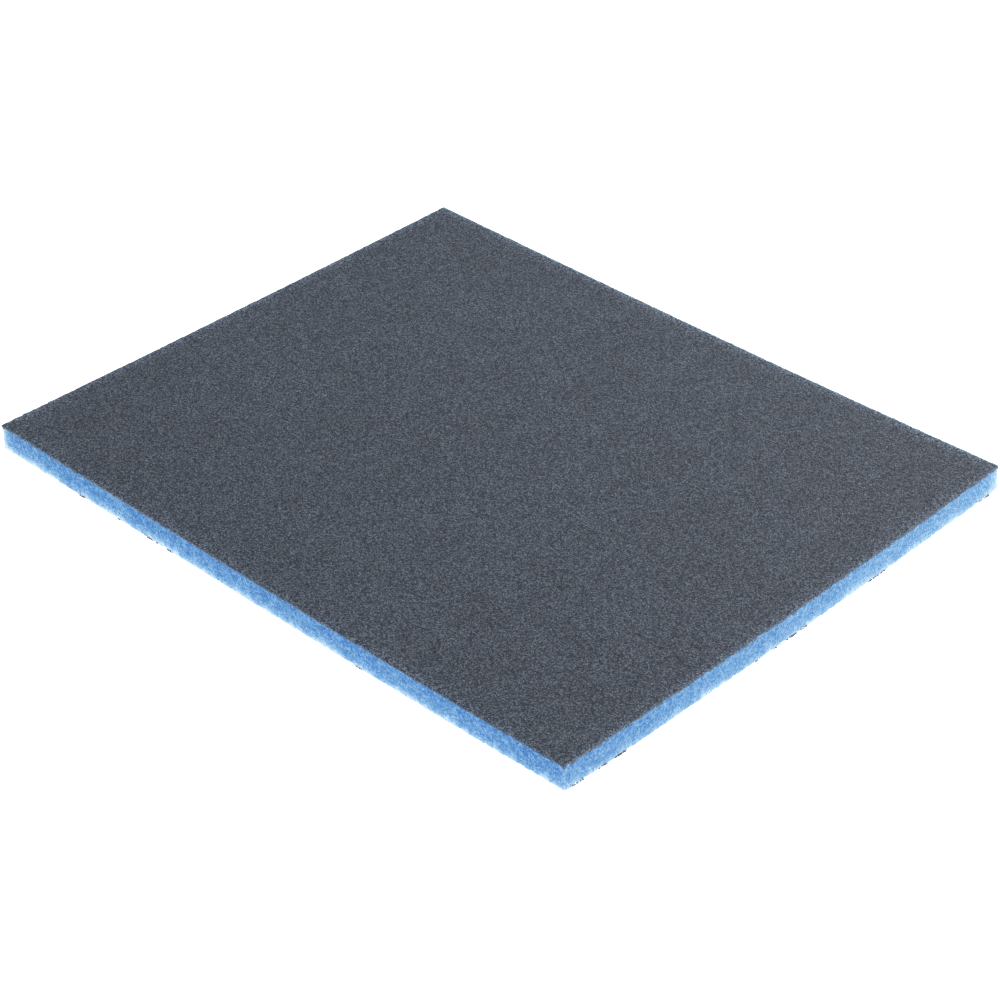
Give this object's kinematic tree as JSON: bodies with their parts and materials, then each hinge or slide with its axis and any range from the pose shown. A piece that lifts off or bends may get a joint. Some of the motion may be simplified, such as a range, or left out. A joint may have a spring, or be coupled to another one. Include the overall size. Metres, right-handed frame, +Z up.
{
  "type": "foam sanding pad",
  "caption": "Thin rectangular double-sided sanding pad: a soft blue foam core faced above and below with dark abrasive grit.",
  "frame": {"origin": "centre of the lower face, on the surface the pad lies on", "axes": "+X along the length, +Y across the width, +Z up through the thickness"},
  "size_m": [0.14, 0.115, 0.005],
  "materials": {
    "grain": "resin-bonded mineral grit, dark blue-grey, rough, with fine bright facets",
    "resin": "thin dark satin resin film",
    "foam": "bright blue flexible polyurethane foam, matte, with fine cut cells"
  },
  "bodies": {
    "root": {"lower_grain_coat": "grain", "lower_make_coat": "resin", "foam_core": "foam", "upper_make_coat": "resin", "upper_grain_coat": "grain"}
  },
  "joints": []
}
